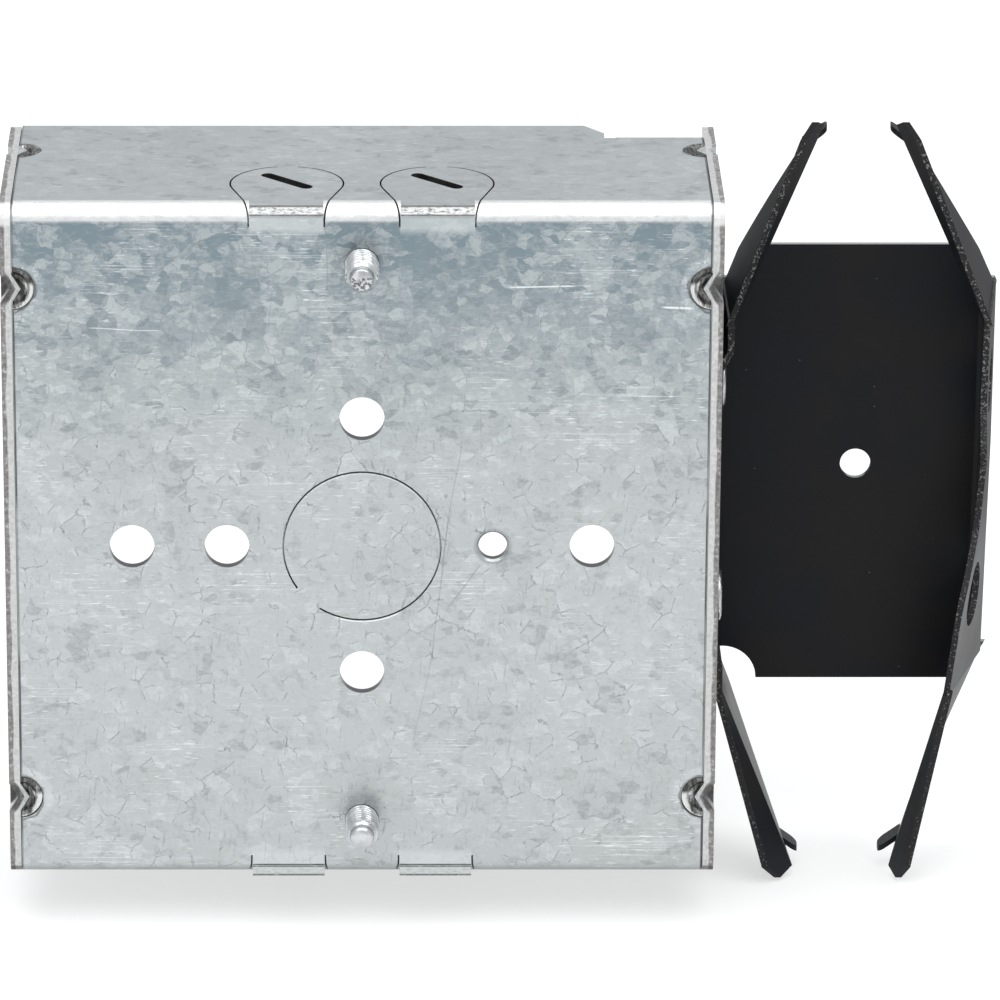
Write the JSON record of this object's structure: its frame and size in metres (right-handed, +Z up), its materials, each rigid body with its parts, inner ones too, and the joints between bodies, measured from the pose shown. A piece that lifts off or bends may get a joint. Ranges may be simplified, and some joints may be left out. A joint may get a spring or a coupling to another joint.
{
  "type": "square electrical box",
  "caption": "Square galvanised steel outlet box with pry-outs, inner cable clamps and a black spring-steel clip that snaps over a steel stud.",
  "frame": {"origin": "centre of the back's outer face", "axes": "+X to the right seen from the back, towards the stud clip; +Y from the back towards the open front; +Z up, as the box is fixed to an upright stud"},
  "size_m": [0.1432, 0.0454, 0.116],
  "materials": {
    "zinc_sheet": "galvanised sheet with fine spangle, satin",
    "zinc_plate": "zinc plated, semi-bright",
    "spring_steel": "black oxide spring steel, satin, with bare speckled cut edges"
  },
  "bodies": {
    "box": {"folded_shell": "zinc_sheet", "left_side_plate": "zinc_sheet", "clip_side_plate": "zinc_sheet", "stud_clip": "spring_steel", "upper_rivet": "zinc_plate", "lower_rivet": "zinc_plate"},
    "upper_clamp": {"upper_clamp": "zinc_plate"},
    "upper_clamp_screw": {"upper_clamp_screw": "zinc_plate"},
    "lower_clamp": {"lower_clamp": "zinc_plate"},
    "lower_clamp_screw": {"lower_clamp_screw": "zinc_plate"},
    "upper_cover_screw": {"upper_cover_screw": "zinc_plate"},
    "lower_cover_screw": {"lower_cover_screw": "zinc_plate"}
  },
  "joints": [
    {"name": "upper_clamp_slide", "type": "slide", "parent": "box", "child": "upper_clamp", "axis": [0, 1, 0], "range_m": [-0.0055, 0.0065]},
    {"name": "upper_clamp_screw_turn", "type": "hinge", "parent": "upper_clamp", "child": "upper_clamp_screw", "pos_m": [0, 0.012, 0.0421], "axis": [0, 1, 0], "range_deg": [-2496, 2950]},
    {"name": "upper_cover_screw_slide", "type": "slide", "parent": "box", "child": "upper_cover_screw", "axis": [0, 1, 0], "range_m": [0, 0.007]},
    {"name": "lower_clamp_slide", "type": "slide", "parent": "box", "child": "lower_clamp", "axis": [0, 1, 0], "range_m": [-0.0055, 0.0065]},
    {"name": "lower_clamp_screw_turn", "type": "hinge", "parent": "lower_clamp", "child": "lower_clamp_screw", "pos_m": [0, 0.012, -0.0421], "axis": [0, 1, 0], "range_deg": [-2496, 2950]},
    {"name": "lower_cover_screw_slide", "type": "slide", "parent": "box", "child": "lower_cover_screw", "axis": [0, 1, 0], "range_m": [0, 0.007]}
  ],
  "couplings": [
    {"joint": "upper_clamp_screw_turn", "follows": "upper_clamp_slide", "rad_per_m": 7915.8},
    {"joint": "lower_clamp_screw_turn", "follows": "lower_clamp_slide", "rad_per_m": 7915.8}
  ]
}
